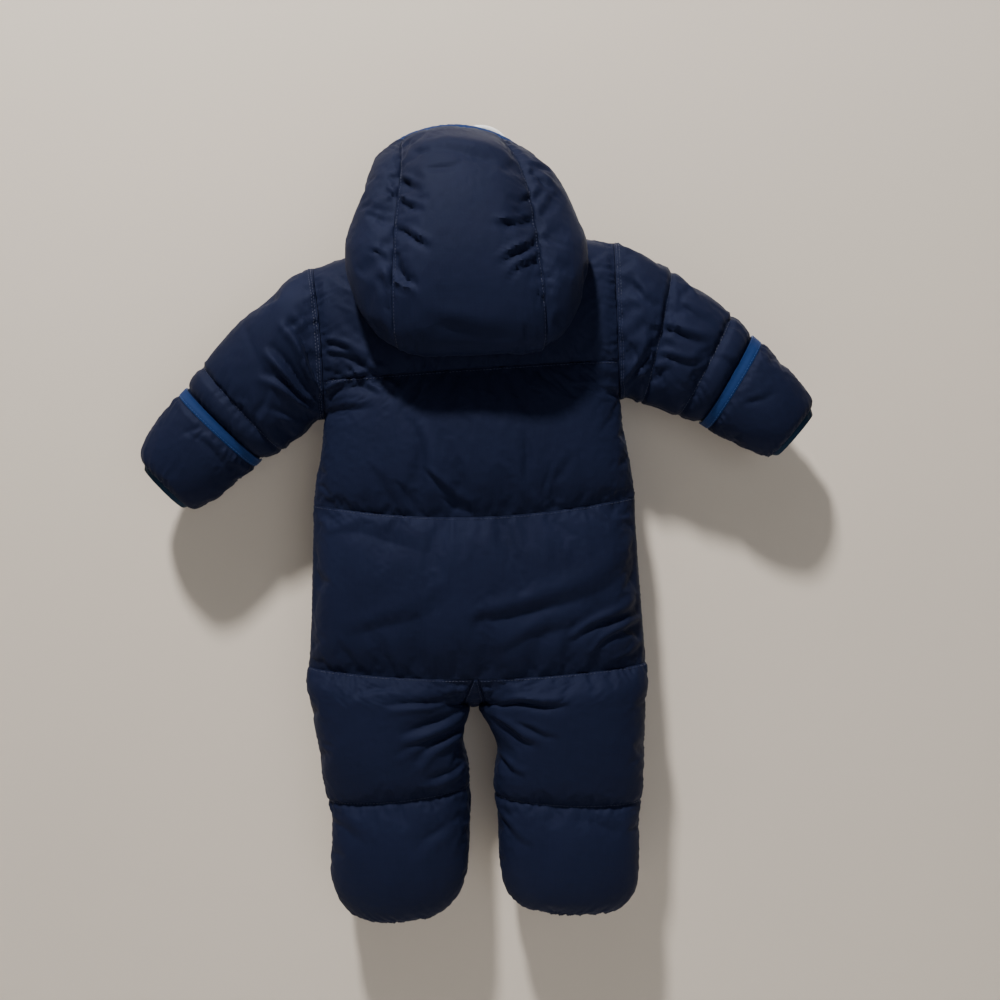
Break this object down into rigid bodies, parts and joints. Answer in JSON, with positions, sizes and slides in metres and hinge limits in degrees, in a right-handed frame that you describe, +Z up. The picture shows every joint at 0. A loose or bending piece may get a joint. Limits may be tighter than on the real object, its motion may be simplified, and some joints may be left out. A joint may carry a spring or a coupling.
{
  "type": "baby snowsuit on hanger",
  "caption": "Padded baby snowsuit with hood, fold-over mitt flaps and a front zip, hanging with its sleeves spread from a child's plastic hanger.",
  "frame": {"origin": "The inner top of the hanger's hook, where it rests on a rail.", "axes": "+Z is up, +X is the wearer's right, +Y is the side of the front zip, and the back faces -Y."},
  "size_m": [0.6677, 0.1529, 0.786],
  "materials": {
    "shell_cloth": "smooth woven nylon over padding",
    "binding_cloth": "smooth bias binding",
    "zip_tape": "woven tape",
    "zip_metal": "enamelled",
    "hanger_plastic": "moulded"
  },
  "bodies": {
    "suit": {"back_yoke": "shell_cloth", "back_upper": "shell_cloth", "back_lower": "shell_cloth", "front_left": "shell_cloth", "front_right": "shell_cloth", "leg_back_left": "shell_cloth", "leg_back_right": "shell_cloth", "leg_front_left": "shell_cloth", "leg_front_right": "shell_cloth", "crotch_gusset": "shell_cloth", "sleeve_left": "shell_cloth", "sleeve_right": "shell_cloth", "mitt_flap_left": "shell_cloth", "mitt_flap_right": "shell_cloth", "hood_centre": "shell_cloth", "hood_side_left": "shell_cloth", "hood_side_right": "shell_cloth", "cuff_binding_left": "binding_cloth", "cuff_binding_right": "binding_cloth", "mitt_binding_left": "binding_cloth", "mitt_binding_right": "binding_cloth", "hood_binding": "binding_cloth", "zip_tape_left": "zip_tape", "zip_tape_right": "zip_tape", "zip_slider": "zip_metal", "hanger": "hanger_plastic"},
    "zip_pull": {"zip_pull": "zip_metal"}
  },
  "joints": [
    {"name": "zip_pull_hinge", "type": "hinge", "parent": "suit", "child": "zip_pull", "pos_m": [-0.01418, 0.04161, -0.15427], "axis": [1, 0, 0], "range_deg": [0, 150]}
  ]
}
